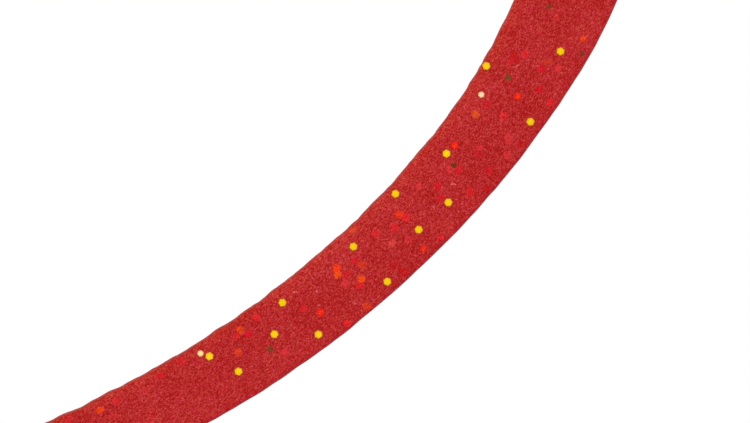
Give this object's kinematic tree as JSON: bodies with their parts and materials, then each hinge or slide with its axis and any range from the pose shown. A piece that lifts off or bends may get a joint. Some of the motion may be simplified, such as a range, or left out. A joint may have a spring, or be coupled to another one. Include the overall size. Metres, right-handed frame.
{
  "type": "soft plastic worm",
  "caption": "Soft plastic fishing worm with a flat back, rounded belly, blunt nose and thin tail, curved in one sweep, with hexagonal flakes; it bends, sweeps and twists along its length.",
  "frame": {"origin": "centre of the small flat face of the nose", "axes": "+Y straight out of the nose, +Z straight out of the flat back, +X to the right seen from above"},
  "size_m": [0.1124, 0.0901, 0.0053],
  "materials": {
    "red_plastisol": "satin soft plastic, opaque red with fine grain",
    "gold_foil": "metallised gold film",
    "pale_gold_foil": "metallised film catching the light",
    "dark_foil": "metallised film turned away from the light",
    "orange_foil": "metallised film under a thin layer of red plastic"
  },
  "bodies": {
    "nose": {"nose": "red_plastisol"},
    "head_section_1": {"head_section_1": "red_plastisol"},
    "head_section_2": {"head_section_2": "red_plastisol"},
    "head_section_3": {"head_section_3": "red_plastisol", "gold_flake_01": "gold_foil", "dark_flake_01": "dark_foil", "orange_flake_01": "orange_foil"},
    "body_section_1": {"body_section_1": "red_plastisol", "gold_flake_02": "gold_foil", "gold_flake_03": "gold_foil", "pale_flake_01": "pale_gold_foil", "dark_flake_02": "dark_foil", "orange_flake_02": "orange_foil"},
    "body_section_2": {"body_section_2": "red_plastisol", "gold_flake_04": "gold_foil", "dark_flake_03": "dark_foil"},
    "body_section_3": {"body_section_3": "red_plastisol", "gold_flake_05": "gold_foil", "gold_flake_06": "gold_foil", "gold_flake_07": "gold_foil", "orange_flake_03": "orange_foil"},
    "body_section_4": {"body_section_4": "red_plastisol", "gold_flake_08": "gold_foil", "gold_flake_09": "gold_foil", "orange_flake_04": "orange_foil", "orange_flake_05": "orange_foil", "orange_flake_06": "orange_foil", "orange_flake_07": "orange_foil", "orange_flake_08": "orange_foil"},
    "body_section_5": {"body_section_5": "red_plastisol", "gold_flake_10": "gold_foil", "gold_flake_11": "gold_foil"},
    "body_section_6": {"body_section_6": "red_plastisol", "gold_flake_12": "gold_foil", "gold_flake_13": "gold_foil", "gold_flake_14": "gold_foil", "pale_flake_02": "pale_gold_foil", "dark_flake_04": "dark_foil", "orange_flake_09": "orange_foil", "orange_flake_10": "orange_foil"},
    "tail_section_1": {"tail_section_1": "red_plastisol"},
    "tail_section_2": {"tail_section_2": "red_plastisol"},
    "tail_section_3": {"tail_section_3": "red_plastisol"},
    "tail_section_4": {"tail_section_4": "red_plastisol"},
    "tail_section_5": {"tail_section_5": "red_plastisol"},
    "tail_section_6": {"tail_section_6": "red_plastisol"},
    "tail_section_7": {"tail_section_7": "red_plastisol"},
    "tail_tip": {"tail_tip": "red_plastisol"}
  },
  "joints": [
    {"name": "head_sweep_1", "type": "hinge", "parent": "head_section_1", "child": "nose", "pos_m": [-0.00083, -0.00915, -0.00069], "axis": [0, 0, 1], "range_deg": [-15, 15], "stiffness_Nm_per_rad": 0.0027},
    {"name": "head_flex", "type": "hinge", "parent": "head_section_2", "child": "head_section_1", "pos_m": [-0.00277, -0.01691, -0.00072], "axis": [0.9519, -0.3064, 0], "range_deg": [-35, 35], "stiffness_Nm_per_rad": 0.000331},
    {"name": "head_sweep_2", "type": "hinge", "parent": "head_section_3", "child": "head_section_2", "pos_m": [-0.00567, -0.02435, -0.00068], "axis": [0, 0, 1], "range_deg": [-15, 15], "stiffness_Nm_per_rad": 0.00145},
    {"name": "body_twist", "type": "hinge", "parent": "body_section_1", "child": "head_section_3", "pos_m": [-0.00954, -0.0317, -0.00063], "axis": [0.5115, 0.8593, 0], "range_deg": [-30, 30], "stiffness_Nm_per_rad": 0.000103},
    {"name": "body_flex_1", "type": "hinge", "parent": "body_section_2", "child": "body_section_1", "pos_m": [-0.01513, -0.03998, -0.00058], "axis": [0.7968, -0.6043, 0], "range_deg": [-35, 35], "stiffness_Nm_per_rad": 0.000244},
    {"name": "body_sweep_1", "type": "hinge", "parent": "body_section_3", "child": "body_section_2", "pos_m": [-0.01929, -0.0451, -0.00054], "axis": [0, 0, 1], "range_deg": [-15, 15], "stiffness_Nm_per_rad": 0.00071},
    {"name": "body_flex_2", "type": "hinge", "parent": "body_section_4", "child": "body_section_3", "pos_m": [-0.02562, -0.05178, -0.00049], "axis": [0.6976, -0.7165, 0], "range_deg": [-35, 35], "stiffness_Nm_per_rad": 0.000326},
    {"name": "body_flex_3", "type": "hinge", "parent": "body_section_4", "child": "body_section_5", "pos_m": [-0.03345, -0.05876, -0.00043], "axis": [-0.632, 0.7749, 0], "range_deg": [-35, 35], "stiffness_Nm_per_rad": 0.000264},
    {"name": "body_sweep_2", "type": "hinge", "parent": "body_section_5", "child": "body_section_6", "pos_m": [-0.03876, -0.06285, -0.00037], "axis": [0, 0, -1], "range_deg": [-15, 15], "stiffness_Nm_per_rad": 0.000594},
    {"name": "body_flex_4", "type": "hinge", "parent": "body_section_6", "child": "tail_section_1", "pos_m": [-0.0487, -0.06938, -0.00026], "axis": [-0.5087, 0.861, 0], "range_deg": [-35, 35], "stiffness_Nm_per_rad": 0.000165},
    {"name": "tail_sweep_1", "type": "hinge", "parent": "tail_section_1", "child": "tail_section_2", "pos_m": [-0.05589, -0.07332, -0.00019], "axis": [0, 0, -1], "range_deg": [-18, 18], "stiffness_Nm_per_rad": 0.000611},
    {"name": "tail_flex_1", "type": "hinge", "parent": "tail_section_2", "child": "tail_section_3", "pos_m": [-0.06314, -0.07671, -0.00009], "axis": [-0.3948, 0.9188, 0], "range_deg": [-45, 45], "stiffness_Nm_per_rad": 0.000126},
    {"name": "tail_sweep_2", "type": "hinge", "parent": "tail_section_3", "child": "tail_section_4", "pos_m": [-0.07039, -0.07958, 0.00004], "axis": [0, 0, -1], "range_deg": [-20, 20], "stiffness_Nm_per_rad": 0.000301},
    {"name": "tail_flex_2", "type": "hinge", "parent": "tail_section_4", "child": "tail_section_5", "pos_m": [-0.0776, -0.08198, 0.00016], "axis": [-0.292, 0.9564, 0], "range_deg": [-45, 45], "stiffness_Nm_per_rad": 0.0000724},
    {"name": "tail_twist", "type": "hinge", "parent": "tail_section_5", "child": "tail_section_6", "pos_m": [-0.08472, -0.08397, 0.00029], "axis": [0.9691, 0.2465, 0], "range_deg": [-30, 30], "stiffness_Nm_per_rad": 0.000013},
    {"name": "tail_flex_3", "type": "hinge", "parent": "tail_section_6", "child": "tail_section_7", "pos_m": [-0.09154, -0.08555, 0.00043], "axis": [-0.2061, 0.9785, 0], "range_deg": [-45, 45], "stiffness_Nm_per_rad": 0.000031},
    {"name": "tail_sweep_3", "type": "hinge", "parent": "tail_section_7", "child": "tail_tip", "pos_m": [-0.09802, -0.0868, 0.00057], "axis": [0, 0, -1], "range_deg": [-25, 25], "stiffness_Nm_per_rad": 0.000072}
  ]
}
